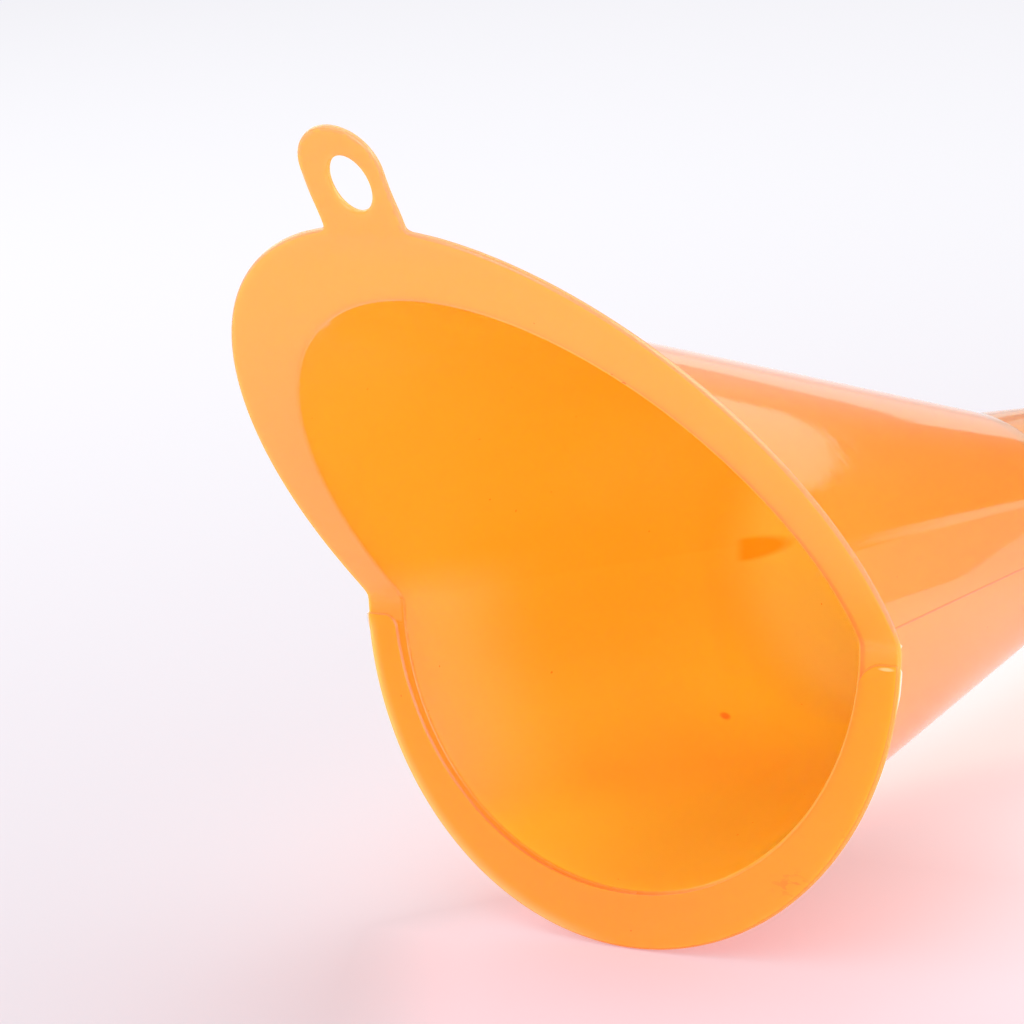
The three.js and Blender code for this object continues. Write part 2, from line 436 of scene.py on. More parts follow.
def pad_cover(u, v):
    """1 on the raised pad of the lower flange, 0 off it, with a short slope between."""
    from_bore = np.hypot(u, v) - MOUTH_RADIUS
    turn = np.arctan2(-v, u) / np.pi
    inset = 0.25 + 1.9 * np.clip(1 - turn / 0.55, 0, 1)
    side = from_bore - inset
    below = -v - PAD_START
    round_ = np.where(u > 0, 2.4, 5.0)
    a = round_ - side
    b = round_ - below
    corner = round_ - np.hypot(np.maximum(a, 0), np.maximum(b, 0))
    inside = np.where((a > 0) & (b > 0), corner, np.minimum(side, below))
    return smooth(inside / PAD_SLOPE + 0.5) * (v < -PAD_START / 2)


def fin(u, v):
    """How far thin flash stands out from the middle of the flange's edge."""
    left = 0.75 * smooth((-v - 3.2) / 0.5) * smooth((9.5 + v) / 5.5) * (u > 0)
    right = 0.45 * smooth((-v - 3.9) / 0.6) * smooth((14 + v) / 6.0) * (u < 0)
    nub = 0.5 * np.exp(-(v / 0.35) ** 2)
    return left + right + nub


def inner_edge(phi):
    """Radius where the cone's inside meets the mouth planes."""
    r = np.full_like(phi, MOUTH_RADIUS)
    for _ in range(40):
        r = MOUTH_RADIUS + math.tan(TILT) * ramp(r * np.sin(phi)) * CONE_SLOPE
    return r


def root_edge(phi):
    """Radius about the axis, at the front plane, whose back point lies on the cone's outside."""
    r = inner_edge(phi) + WALL
    for _ in range(60):
        p = on_mouth(r * np.cos(phi), plane_height(phi, r), FLANGE)
        miss = np.hypot(p[:, 1], p[:, 2]) - (CONE_OUTER - p[:, 0] * CONE_SLOPE)
        r = r - 0.8 * miss
    return r


def ring_points(phi, x, radius):
    """Points at these angles, places and radii about the axis."""
    x, radius = np.broadcast_arrays(x, radius)
    return np.stack([x + 0 * phi, radius * np.cos(phi), radius * np.sin(phi)], axis=-1)


def edge_profile(points, normals, rise):
    """Round outer edge from the front face to the back face, with flash along its middle."""
    u, v = points[:, 0], points[:, 1]
    turns = np.linspace(0, math.pi / 2, 4)
    steps = [(EDGE_ROUND * (math.sin(a) - 1), EDGE_ROUND * (1 - math.cos(a)), 0.0) for a in turns]
    middle = FLANGE / 2
    steps.append((0.0, middle - 0.12, 0.0))
    steps.append((0.0, middle, 1.0))
    steps.append((0.0, middle + 0.12, 0.0))
    steps += [(EDGE_ROUND * (math.cos(a) - 1), FLANGE - EDGE_ROUND * (1 - math.sin(a)), 0.0) for a in turns]
    stand = fin(u, v)
    columns = []
    for out, depth, flash in steps:
        reach = out + flash * stand
        lift = -rise * (1 - depth / FLANGE)
        columns.append(on_mouth(u + normals[:, 0] * reach, v + normals[:, 1] * reach, depth + lift))
    return np.stack(columns, axis=1)


def neck_columns(phi, back_phi, outer_end):
    """Columns of the shoulder and the neck: out along the outside, round its end, back along the bore."""
    shoulder = ring_points(back_phi, CONE_LENGTH, CONE_OUTER - CONE_LENGTH * CONE_SLOPE)
    neck_corner = ring_points(back_phi, NECK_START, neck_outer(NECK_START))
    half_way = (shoulder + neck_corner) / 2
    after_neck = ring_points(back_phi, NECK_START + 1.2, neck_outer(NECK_START + 1.2))
    end_outer = neck_outer(NECK_END)
    end_inner = end_outer - NECK_WALL
    throat = neck_outer(NECK_START) - NECK_WALL
    outer = [(x, neck_outer(x)) for x in np.linspace(NECK_START + 1.2, NECK_END - 0.5, 9)[1:]]
    turns = np.linspace(0, math.pi / 2, 4)
    outer += [(NECK_END - 0.5 + 0.5 * math.sin(a), end_outer - 0.5 * (1 - math.cos(a))) for a in turns[1:]]
    inner = [(NECK_END - 0.4 * (1 - math.cos(a)), end_inner + 0.4 * (1 - math.sin(a))) for a in turns]
    inner += [(x, neck_outer(x) - NECK_WALL) for x in np.linspace(NECK_END - 0.4, NECK_START + 0.8, 9)[1:]]
    inner.append((NECK_START, throat + 0.15))
    inner.append((CONE_LENGTH + SHOULDER / 2, (cone_inner(CONE_LENGTH) + throat) / 2))
    columns = [
        fillet(outer_end, shoulder, half_way, 5)[:, 1:],
        fillet(half_way, neck_corner, after_neck, 5)[:, 1:],
    ]
    columns += [ring_points(back_phi, *place)[:, None] for place in outer]
    columns += [ring_points(phi, *place)[:, None] for place in inner]
    return columns


def front_columns(phi, points, normals, on_base):
    """Columns up the cone's inside, round the mouth, over the flange's face and round its edge.
    Also where the face's columns lie on the mouth planes, and where the face ends."""
    inner = inner_edge(phi)
    corner = on_mouth(inner * np.cos(phi), plane_height(phi, inner))
    inside_start = corner + MOUTH_ROUND * unit(ring_points(phi, 1.0, -CONE_SLOPE))
    front_step = inner + MOUTH_ROUND
    start = np.stack([front_step * np.cos(phi), plane_height(phi, front_step)])
    deep = ring_points(phi, CONE_LENGTH, cone_inner(CONE_LENGTH))
    inside = along(deep, inside_start, np.linspace(0, 1, CONE_COLUMNS)[:-1])
    mouth_round = fillet(inside_start, corner, on_mouth(*start), ROUND_COLUMNS)
    no_edge = on_base & np.roll(on_base, 1) & np.roll(on_base, -1)
    end = (points - np.where(no_edge, 0.0, EDGE_ROUND)[:, None] * normals).T
    spread = (np.arange(1, FRONT_COLUMNS + 1) / FRONT_COLUMNS) ** 1.6
    u, v = start[..., None] + (end - start)[..., None] * spread
    rise = PAD_HEIGHT * pad_cover(u, v)
    edge = edge_profile(points, normals, rise[:, -1])[:, 1:-1]
    return [inside, mouth_round, on_mouth(u, v, -rise), edge], u, v, end


def back_columns(phi, end):
    """Columns over the flange's back, round its root and along the cone's outside, then the neck's."""
    root = root_edge(phi)
    corner = on_mouth(root * np.cos(phi), plane_height(phi, root), FLANGE)
    back_phi = np.arctan2(corner[:, 2], corner[:, 1])
    back_step = root + ROOT_ROUND
    foot = np.stack([back_step * np.cos(phi), plane_height(phi, back_step)])
    u, v = end[..., None] + (foot - end)[..., None] * np.linspace(0, 1, 9)
    back = on_mouth(u, v, FLANGE)
    outside_start = corner + ROOT_ROUND * unit(ring_points(back_phi, 1.0, -CONE_SLOPE))
    root_round = fillet(back[:, -1], corner, outside_start, ROUND_COLUMNS)[:, 1:]
    outer_end = ring_points(back_phi, CONE_LENGTH - 1.2, CONE_OUTER - (CONE_LENGTH - 1.2) * CONE_SLOPE)
    outside = along(outside_start, outer_end, np.linspace(0, 1, CONE_COLUMNS)[1:])
    return [back, root_round, outside] + neck_columns(phi, back_phi, outer_end)


def bowl_rows():
    """Every row is one closed section of the bowl; columns run from the cone's inside, out over
    the flange, back along the outside to the neck's end, and in along the neck's bore."""
    points, normals, on_base = outline()
    height = np.where(points[:, 1] > 0, points[:, 1] * math.cos(TILT), points[:, 1])
    phi = np.arctan2(height, points[:, 0])
    blocks, u, v, end = front_columns(phi, points, normals, on_base)
    edge_last = sum(part.shape[1] for part in blocks)
    edge_first = edge_last - blocks[-1].shape[1]
    blocks += back_columns(phi, end)
    rows = np.concatenate(blocks, axis=1)
    marks = bowl_marks(rows, [part.shape[1] for part in blocks], points, u, v)
    return rows, marks, points, on_base, (edge_first, edge_last)


def bowl_marks(rows, widths, points, u, v):
    """Where the flanges, the pad, the groove beside it, its pale border, the flash, the cone's outside, the
    raised lip's edge and the round of the mouth are, each from 0 to 1. The groove carries painted shade, the
    border a painted highlight, the lip's edge painted edge light and the mouth's round painted light."""
    start = np.cumsum([0] + widths)
    mouth, front, edge, back, root = (slice(start[k], start[k + 1]) for k in range(1, 6))
    names = ("flange", "pad", "groove", "border", "flash", "outside", "rim", "brim")
    marks = {name: np.zeros(rows.shape[:2]) for name in names}
    marks["flange"][:, mouth] = np.linspace(0, 1, widths[1])
    marks["flange"][:, front.start:back.stop] = 1
    marks["flange"][:, root] = np.linspace(1, 0, widths[5])
    marks["outside"][:, root.start:start[7] + OUTER_NECK_COLUMNS] = 1
    # The lip's edge takes painted edge light
    marks["rim"][:, edge] = smooth(points[:, 1:] / 6)
    cover = pad_cover(u, v)
    marks["pad"][:, front] = cover
    # Share of the painted shade in the groove beside the pad and along the lower mouth
    low = smooth((-v - PAD_START - 0.4) / 1.2) * smooth((u + 25) / 30)
    marks["groove"][:, front] = (1 - cover) * low
    from_fold = smooth((1 - v[:, :1]) / 1.5) * smooth((u[:, :1] + 25) / 30)
    marks["groove"][:, mouth] = from_fold * np.minimum(np.linspace(0, 2, widths[1]), 1)
    minus_y_side = smooth(-points[:, :1] / 40)
    # Painted light on the mouth's round, -Y side
    marks["brim"][:, mouth] = (1 - from_fold) * minus_y_side * np.array(BRIM_SHARES)
    to_edge = np.hypot(points[:, :1] - u, points[:, 1:] - v)
    # Painted highlight along the lower flange's rounded edge on the +Y side
    marks["border"][:, front] = smooth(1 - to_edge / 2.6) * smooth(u / 20) * smooth((-v - 3) / 4)
    marks["border"][:, edge] = marks["border"][:, front][:, -1:]
    middle = (widths[3] - 1) // 2
    stand = fin(points[:, 0], points[:, 1])
    marks["flash"][:, edge.start + middle] = smooth(stand / 0.25)
    return marks


def tab_points(points, on_base):
    """Outline of the tab above its base row, from +Y over the top to -Y, with normals."""
    side_top = TAB_TOP - TAB_HALF_WIDTH
    base = points[on_base]
    base_v = base[0, 1]
    rise = np.linspace(base_v, side_top, 12)
    a = np.linspace(0, math.pi, 33)
    side = np.stack([np.full_like(rise, TAB_HALF_WIDTH), rise], axis=-1)
    top = np.stack([TAB_HALF_WIDTH * np.cos(a), side_top + TAB_HALF_WIDTH * np.sin(a)], axis=-1)
    outer = np.concatenate([side, top[1:-1], (side * [-1, 1])[::-1]])
    out_side = np.tile([1.0, 0.0], (len(rise), 1))
    out_top = np.stack([np.cos(a), np.sin(a)], axis=-1)
    out = np.concatenate([out_side, out_top[1:-1], (out_side * [-1, 1])[::-1]])
    outer[:, 0] += TAB_SWAY * smooth((outer[:, 1] - base_v) / 8)
    back_base = base[::-1][1:-1]
    return outer, out, back_base


def tab_sheet(inset, hole, hole_out):
    """Both faces of the tab and the round wall of its hole, as rings from the front to the back."""
    hole_start = hole + HOLE_ROUND * hole_out
    steps = np.linspace(0, 1, 9)
    turns = np.linspace(0, math.pi / 2, 5)
    rings = [(inset * (1 - f) + hole_start * f, 0.0) for f in steps]
    for a in turns[1:]:
        wall = hole + HOLE_ROUND * (1 - math.sin(a)) * hole_out
        rings.append((wall, HOLE_ROUND * (1 - math.cos(a))))
    for a in turns[:0:-1]:
        wall = hole + HOLE_ROUND * (1 - math.sin(a)) * hole_out
        rings.append((wall, FLANGE - HOLE_ROUND * (1 - math.cos(a))))
    rings += [(inset * (1 - f) + hole_start * f, FLANGE) for f in steps[::-1]]
    return np.stack([on_mouth(p[:, 0], p[:, 1], depth) for p, depth in rings], axis=1)


def tab_mesh(points, on_base):
    """The tab: its sheet, then its round edge, and how many vertices the sheet has."""
    outer, out, back_base = tab_points(points, on_base)
    loop = np.concatenate([outer, back_base])
    inset = np.concatenate([outer - EDGE_ROUND * out, back_base])
    angle = np.arctan2(loop[:, 1] - HOLE_CENTRE, loop[:, 0] - HOLE_SHIFT)
    hole = np.stack([
        HOLE_SHIFT + HOLE_HALF_WIDTH * np.cos(angle),
        HOLE_CENTRE + HOLE_HALF_LENGTH * np.sin(angle),
    ], axis=-1)
    hole_out = unit(np.stack([
        np.cos(angle) / HOLE_HALF_WIDTH,
        np.sin(angle) / HOLE_HALF_LENGTH,
    ], axis=-1))
    sheet = tab_sheet(inset, hole, hole_out)
    edge = edge_profile(outer, out, np.zeros(len(outer)))
    sheet_count = sheet.shape[0] * sheet.shape[1]
    faces = grid_faces(len(loop), sheet.shape[1], wrap_cols=False)
    faces += grid_faces(len(outer), edge.shape[1], sheet_count, wrap_rows=False, wrap_cols=False)
    return np.concatenate([sheet.reshape(-1, 3), edge.reshape(-1, 3)]), faces, sheet_count


def bowl():
    rows, marks, points, on_base, (edge_first, edge_last) = bowl_rows()
    count, cols = rows.shape[:2]

    def under_tab(i, j):
        return on_base[i] and on_base[(i + 1) % count] and edge_first - 1 <= j < edge_last

    faces = grid_faces(count, cols, skip=under_tab)
    tab, tab_faces, sheet_count = tab_mesh(points, on_base)
    shift = count * cols
    faces += [tuple(k + shift for k in face) for face in tab_faces]
    tab_marks = {name: np.full(len(tab), float(name == "flange")) for name in marks}
    tab_marks["rim"][sheet_count:] = 1
    both = {name: np.concatenate([values.reshape(-1), tab_marks[name]]) for name, values in marks.items()}
    piece = build("bowl_moulding", np.concatenate([rows.reshape(-1, 3), tab]), faces, both)
    tidy_mesh(piece)
    return piece


# ---- spout

def spout_corners():
    """The spout's section as corners (x, radius, setback): along the outside from the socket's mouth
    to the tip, then back along the bore."""
    bead_end = SOCKET_START + BEAD_LENGTH
    stop = NECK_END + SOCKET_GAP
    stop_bore = neck_outer(NECK_END) - NECK_WALL

    def socket_bore(x):
        return neck_outer(x) + SOCKET_GAP

    return [
        (SOCKET_START, socket_bore(SOCKET_START) + SPOUT_WALL + BEAD_RISE, 0.7),
        (bead_end, socket_bore(bead_end) + SPOUT_WALL + BEAD_RISE, 0.7),
        (bead_end + BEAD_RISE, socket_bore(bead_end) + SPOUT_WALL, 0.8),
        (REDUCER_START, stop_bore + 2 * SPOUT_WALL, 4.0),
        (REDUCER_END, TUBE_BORE + SPOUT_WALL, 5.0),
        (SPOUT_END, TIP_BORE + SPOUT_WALL, 0.5),
        (SPOUT_END, TIP_BORE, 0.4),
        (REDUCER_END, TUBE_BORE, 5.0),
        (REDUCER_START, stop_bore, 4.0),
        (stop, stop_bore, 0.3),
        (stop, socket_bore(stop), 0.2),
        (SOCKET_START, socket_bore(SOCKET_START), 0.4),
    ]


def divided(start, end, longest):
    """Points between two others that leave no gap longer than asked."""
    parts = int(np.linalg.norm(end - start) // longest) + 1
    return [start + (end - start) * k / parts for k in range(1, parts)]


def rounded(corners, steps=5, longest=6.0):
    """A closed profile whose corners (x, radius, setback) are round and whose long sides are divided."""
    places = [np.array(corner[:2]) for corner in corners]
    points = []
    for k, place in enumerate(places):
        ends = []
        for other in (places[k - 1], places[(k + 1) % len(places)]):
            reach = np.linalg.norm(other - place)
            ends.append(place + (other - place) / reach * min(corners[k][2], reach / 2.01))
        if points:
            points += divided(points[-1], ends[0], longest)
        for t in np.linspace(0, 1, steps):
            points.append(ends[0] * (1 - t) ** 2 + 2 * place * t * (1 - t) + ends[1] * t * t)
    return np.array(points + divided(points[-1], points[0], longest))


def spout_profile():
    """The rounded section, with more points where the ribs start and run out."""
    profile = rounded(spout_corners())
    outer_x = profile[:np.argmax(profile[:, 0]), 0]
    rib_starts = np.linspace(RIB_START - 1.5, RIB_START + 1.5, 9)
    rib_ends = np.linspace(RIB_END - 1, RIB_END + RIB_RUNOUT + 1, 10)
    for x in np.concatenate([rib_starts, rib_ends]):
        place = int(np.searchsorted(outer_x, x))
        radius = np.interp(x, outer_x, profile[:len(outer_x), 1])
        outer_x = np.insert(outer_x, place, x)
        profile = np.insert(profile, place, [x, radius], axis=0)
    return profile


def rib_angles():
    return [2 * math.pi * k / RIB_COUNT + math.pi / RIB_COUNT for k in range(RIB_COUNT)]


def spout_angles():
    """Angles of the spout's rows, closer together where a rib's sides rise."""
    near_rib = np.array(RIB_CUTS) * RIB_THICKNESS / 2 / (TUBE_BORE + SPOUT_WALL)
    phi = list(np.linspace(0, 2 * math.pi, 121)[:-1])
    for angle in rib_angles():
        phi = [a for a in phi if abs(a - angle) > near_rib[-1] * 1.2]
        phi += list(angle + near_rib)
    return np.array(sorted(phi))


def rib_rise(stations, phi, radius):
    """How far the ribs stand up from the spout's outside, by row and column."""
    across = np.full_like(phi, 1e3)
    for angle in rib_angles():
        turn = np.angle(np.exp(1j * (phi - angle)))
        across = np.minimum(across, np.abs(turn) * (TUBE_BORE + SPOUT_WALL))
    width = smooth((RIB_THICKNESS / 2 + 0.2 - across) / 0.4)
    run = (RIB_END + RIB_RUNOUT - stations) / RIB_RUNOUT
    top = TUBE_BORE + (RIB_RADIUS - TUBE_BORE) * np.clip(run, 0, 1)
    front = smooth((stations - RIB_START + 0.3) / 0.6) * (run > 0)
    return np.maximum(top - radius, 0) * front * width[:, None]


def spout():
    phi = spout_angles()
    stations, radius = spout_profile().T
    is_outer = np.arange(len(stations)) < np.argmax(stations)
    radius = radius + rib_rise(stations, phi, radius) * is_outer
    # The slanted tip leaves the underside longest
    slant = TIP_SLANT / (2 * (TIP_BORE + SPOUT_WALL))
    height = radius * np.sin(phi)[:, None] + TIP_BORE + SPOUT_WALL
    x = stations - slant * height * smooth((stations - SPOUT_END + 24) / 24)
    points = ring_points(phi[:, None], x, radius)
    faces = grid_faces(len(phi), len(stations))
    marks = {"outside": np.tile(is_outer, len(phi))}
    piece = build("pull_off_spout", points.reshape(-1, 3), faces, marks)
    tidy_mesh(piece)
    return piece


# ---- strainer

def rod(rings):
    """Vertices and faces of a rod through the rings, with closed ends."""
    count, sides = rings.shape[:2]
    faces = grid_faces(count, sides, wrap_rows=False)
    faces.append(tuple(range(sides))[::-1])
    faces.append(tuple(range((count - 1) * sides, count * sides)))
    return rings.reshape(-1, 3), faces


def tube(path, radius, sides):
    """A round rod along the path."""
    tangent = unit(np.gradient(path, axis=0))
    side = unit(np.cross(tangent, [[0.0, 1.0, 0.0]] if abs(tangent[0][1]) < 0.9 else [[0.0, 0.0, 1.0]]))
    other = np.cross(tangent, side)
    a = np.linspace(0, 2 * math.pi, sides, endpoint=False)[None, :, None]
    return rod(path[:, None] + radius * (np.cos(a) * side[:, None] + np.sin(a) * other[:, None]))


def joined(parts):
    vertices, faces = [], []
    for points, polygons in parts:
        shift = sum(len(v) for v in vertices)
        vertices.append(points)
        faces += [tuple(k + shift for k in face) for face in polygons]
    return np.concatenate(vertices), faces


def strainer_ring():
    profile = rounded([
        (FRAME_START, FRAME_BORE, 0.5),
        (FRAME_START, cone_inner(FRAME_START) - 0.3, 0.6),
        (FRAME_END, cone_inner(FRAME_END) - 0.3, 0.6),
        (FRAME_END, FRAME_BORE, 0.4),
        (GROOVE_END, FRAME_BORE, 0.15),
        (GROOVE_END, GROOVE_RADIUS, 0.1),
        (GROOVE_START, GROOVE_RADIUS, 0.1),
        (GROOVE_START, FRAME_BORE, 0.3),
    ], longest=3.0)
    phi = np.linspace(0, 2 * math.pi, 145)[:-1]
    points = ring_points(phi[:, None], profile[:, 0], profile[:, 1])
    return points.reshape(-1, 3), grid_faces(len(phi), len(profile))


def spoke(turn):
    """A straight bar across the ring, with a rounded section, turned about the axis."""
    half = SPOKE_WIDTH / 2 - SPOKE_ROUND
    first, last = GROOVE_END + 0.05, FRAME_END - 0.05
    middle, depth = (first + last) / 2, (last - first) / 2 - SPOKE_ROUND
    section = []
    for cx, cy, start in ((depth, half, 0), (-depth, half, 90), (-depth, -half, 180), (depth, -half, 270)):
        for a in np.radians(start + np.linspace(0, 90, 4)):
            section.append((cx + SPOKE_ROUND * math.cos(a), cy + SPOKE_ROUND * math.sin(a)))
    x, across = np.array(section).T
    reach = FRAME_BORE + 0.8
    rings = []
    for s in np.linspace(-reach, reach, 7):
        y = across * math.cos(turn) - s * math.sin(turn)
        z = across * math.sin(turn) + s * math.cos(turn)
        rings.append(np.stack([middle + x, y, z], axis=-1))
    return rod(np.array(rings))


def lift_loop():
    foot_radius = (FRAME_BORE + cone_inner(FRAME_START)) / 2
    foot = FRAME_START + 0.8
    angle = np.linspace(0, math.pi, 61)
    path = np.stack([
        foot - (LOOP_HEIGHT + 0.8) * np.sin(angle),
        0 * angle,
        foot_radius * np.cos(angle),
    ], axis=-1)
    return tube(path, LOOP_ROD, 14)


def union(name, solids):
    """One solid from several overlapping ones."""
    base = None
    for k, (points, faces) in enumerate(solids):
        piece = build(f"{name}_{k}", points, faces)
        tidy_mesh(piece)
        if base is None:
            base = piece
            continue
        cut = base.modifiers.new("join", "BOOLEAN")
        cut.operation = "UNION"
        cut.solver = "EXACT"
        cut.object = piece
        with bpy.context.temp_override(object=base, active_object=base):
            bpy.ops.object.modifier_apply(modifier=cut.name)
        bpy.data.objects.remove(piece)
    base.name = name
    return base


def strainer_frame():
    return union("strainer_ring", [strainer_ring(), lift_loop(), spoke(0.0), spoke(math.pi / 2)])


def gauze():
    """Woven wire: each wire passes over and under the wires that cross it."""
    middle = (GROOVE_START + GROOVE_END) / 2
    reach = GROOVE_RADIUS - 0.35
    count = int(reach // WIRE_PITCH)
    parts = []
    for direction in (0, 1):
        for k in range(-count, count + 1):
            offset = k * WIRE_PITCH
            half = math.sqrt(max(reach ** 2 - offset ** 2, 0.0))
            if half < WIRE_PITCH:
                continue
            steps = max(int(half * 2 / WIRE_PITCH * 4), 6)
            s = np.linspace(-half, half, steps)
            sign = 1 if (k + direction) % 2 else -1
            wave = sign * WIRE_RADIUS * 1.05 * np.cos(math.pi * s / WIRE_PITCH)
            place = (s, 0 * s + offset) if direction else (0 * s + offset, s)
            parts.append(tube(np.stack([middle + wave, *place], axis=-1), WIRE_RADIUS, 5))
    points, faces = joined(parts)
    return build("woven_gauze", points, faces)


# ---- materials

def new_material(name):
    material = bpy.data.materials.new(name)
    material.use_nodes = True
    nodes = material.node_tree.nodes
    nodes.clear()
    shader = nodes.new("ShaderNodeBsdfPrincipled")
    output = nodes.new("ShaderNodeOutputMaterial")
    material.node_tree.links.new(shader.outputs["BSDF"], output.inputs["Surface"])
    return material, shader


class Nodes:
    """Short calls for the node trees below."""

    def __init__(self, material):
        self.tree = material.node_tree

    def new(self, kind):
        return self.tree.nodes.new("ShaderNode" + kind)

    def link(self, source, target):
        if hasattr(source, "links"):
            self.tree.links.new(source, target)
        else:
            target.default_value = source

    def object_place(self):
        return self.new("TexCoord").outputs["Object"]

    def noise(self, vector, scale, detail=3.0):
        node = self.new("TexNoise")
        self.link(vector, node.inputs["Vector"])
        node.inputs["Scale"].default_value = scale
        node.inputs["Detail"].default_value = detail
        return node.outputs["Fac"]

    def scaled(self, vector, scale):
        node = self.new("Mapping")
        self.link(vector, node.inputs["Vector"])
        node.inputs["Scale"].default_value = scale
        return node.outputs["Vector"]

    def math(self, operation, a, b=0.5, clamp=False):
        node = self.new("Math")
        node.operation = operation
        node.use_clamp = clamp
        self.link(a, node.inputs[0])
        self.link(b, node.inputs[1])
        return node.outputs[0]

    def times(self, first, *others):
        for other in others:
            first = self.math("MULTIPLY", first, other)
        return first

    def paint(self, base, colour, *shares):
        """The colour laid over the base by the product of the shares."""
        return self.mix(self.times(*shares), base, colour)

    def span(self, value, low, high, to_low=0.0, to_high=1.0):
        node = self.new("MapRange")
        node.interpolation_type = "SMOOTHSTEP"
        self.link(value, node.inputs["Value"])
        limits = {"From Min": low, "From Max": high, "To Min": to_low, "To Max": to_high}
        for name, limit in limits.items():
            node.inputs[name].default_value = limit
        return node.outputs["Result"]

    def mix(self, share, a, b):
        node = self.new("Mix")
        node.data_type = "RGBA"
        self.link(share, node.inputs["Factor"])
        self.link(a, node.inputs[6])
        self.link(b, node.inputs[7])
        return node.outputs[2]

    def attribute(self, name):
        node = self.new("Attribute")
        node.attribute_name = name
        return node.outputs["Fac"]

    def vector_math(self, operation, *vectors):
        node = self.new("VectorMath")
        node.operation = operation
        for vector, socket in zip(vectors, node.inputs):
            self.link(vector, socket)
        return node

    def dot(self, vector, direction):
        return self.vector_math("DOT_PRODUCT", vector, direction).outputs["Value"]

    def bump(self, height, strength, distance, normal=None):
        node = self.new("Bump")
        self.link(height, node.inputs["Height"])
        node.inputs["Strength"].default_value = strength
        node.inputs["Distance"].default_value = distance
        if normal is not None:
            self.link(normal, node.inputs["Normal"])
        return node.outputs["Normal"]


def spot(n, place, centre, reach, softness=0.5):
    """1 in an ellipsoid about a point, 0 outside it."""
    shift = n.vector_math("SUBTRACT", place, centre).outputs["Vector"]
    away = n.scaled(shift, tuple(1 / r for r in reach))
    return n.span(n.vector_math("LENGTH", away).outputs["Value"], 1.0, 1.0 - softness)


def axis_place(n):
    """The shaded point in axis millimetres."""
    place = n.object_place()
    parts = []
    for direction in (AXIS, ACROSS, UP):
        along_it = n.math("SUBTRACT", n.dot(place, direction), MOUTH.dot(direction))
        parts.append(n.math("MULTIPLY", along_it, 1000.0))
    joined_parts = n.new("CombineXYZ")
    for part, socket in zip(parts, joined_parts.inputs):
        n.link(part, socket)
    return joined_parts.outputs["Vector"], parts


def wall_tones_and_painted_light(n, x, y, z, base):
    """Broad shades of the wall from place to place: a darker belt about the middle, and painted light that
    makes the wall paler low down and at the cone's far end, with a painted reflection low inside the mouth on
    the +Y side.
    """
    middle = n.times(n.span(x, 10.0, 32.0), n.span(x, 76.0, 48.0))
    low_share = n.math("SUBTRACT", 0.7, n.times(middle, 0.38))
    belt = n.times(n.span(x, 2.0, 26.0), n.span(x, 76.0, 48.0), n.span(z, 20.0, 6.0), n.span(z, -26.0, -10.0))
    cone_end = n.times(n.span(x, 76.0, 97.0), n.span(x, 121.0, 118.0))
    # Share of the painted reflection low inside the mouth on the +Y side
    thin = n.times(n.span(x, 36.0, 4.0), n.span(z, 8.0, -3.0), n.span(y, 24.0, 44.0))
    for colour, *shares in (
        # The half above the parting plane is a little deeper in colour than the half below
        ((1.0, 0.19, 0.03, 1), n.span(z, -0.4, 0.4), 0.5),
        ((1.0, 0.21, 0.06, 1), n.span(z, 0.0, 20.0), n.span(x, 25.0, 60.0), 0.6),
        # Painted light: the lower part of the wall is paler, most of all near the bottom
        ((1.0, 0.35, 0.045, 1), n.span(z, -6.0, -30.0), low_share),
        ((1.0, 0.42, 0.045, 1), n.span(z, -35.0, -43.0), 0.5),
        ((1.0, 0.17, 0.02, 1), belt, 0.5),
        # Painted light: the cone's far end is paler, lifting the shade deep in the cone
        ((1.0, 0.32, 0.12, 1), cone_end),
        # Painted reflection: paler low inside the mouth on the +Y side
        ((1.0, 0.27, 0.14, 1), thin, 0.8),
    ):
        base = n.paint(base, colour, *shares)
    return base


def marked_shades(n, z, marks, base):
    """Shades of the marked parts of the moulding, from the cone's outside to the edges, with painted shade in
    the groove and the crease, a painted highlight on the border, painted edge light on the lip's edge and
    painted light on the mouth's round.
    """
    flange = n.mix(n.span(z, 68.0, 80.0), (1.0, 0.195, 0.043, 1), (1.0, 0.185, 0.07, 1))
    for colour, *shares in (
        ((1.0, 0.22, 0.012, 1), marks["outside"]),
        (flange, marks["flange"]),
        ((1.0, 0.23, 0.02, 1), marks["pad"], 0.9),
        # Painted highlight along the lower flange's rounded edge
        ((1.0, 0.36, 0.16, 1), marks["border"], 0.8),
        # Painted shade in the groove beside the pad and along the lower mouth
        ((1.0, 0.15, 0.004, 1), marks["groove"], 0.9),
        # Painted shade along the crease at the pad's edge
        ((1.0, 0.06, 0.0, 1), n.math("MULTIPLY", marks["crease"], 2.0, clamp=True)),
        # Painted edge light: pinker along the lip's and the tab's rounded edges
        ((1.0, 0.15, 0.11, 1), marks["rim"], 0.8),
        # Painted light: paler on the mouth's round, -Y side
        ((1.0, 0.33, 0.045, 1), marks["brim"], 0.8),
    ):
        base = n.paint(base, colour, *shares)
    return base


def moulded_skin(n, place, marks, seam, shader):
    """Soft gloss with a fine grain, more matt on the flange, in the groove and along the crease."""
    grain = n.span(n.noise(place, 0.9, 2.0), 0.3, 0.7, 0.08, 0.11)
    gloss = n.math("SUBTRACT", grain, n.times(marks["outside"], 0.045))
    matt = n.math("MAXIMUM", n.times(marks["flange"], 0.16), n.times(marks["groove"], 0.2))
    matt = n.math("MAXIMUM", matt, marks["crease"])
    n.link(n.math("ADD", gloss, matt), shader.inputs["Roughness"])
    waves = n.bump(n.noise(place, 0.12, 2.0), 0.04, 0.0004)
    n.link(n.bump(seam, 0.3, 0.00008, waves), shader.inputs["Normal"])


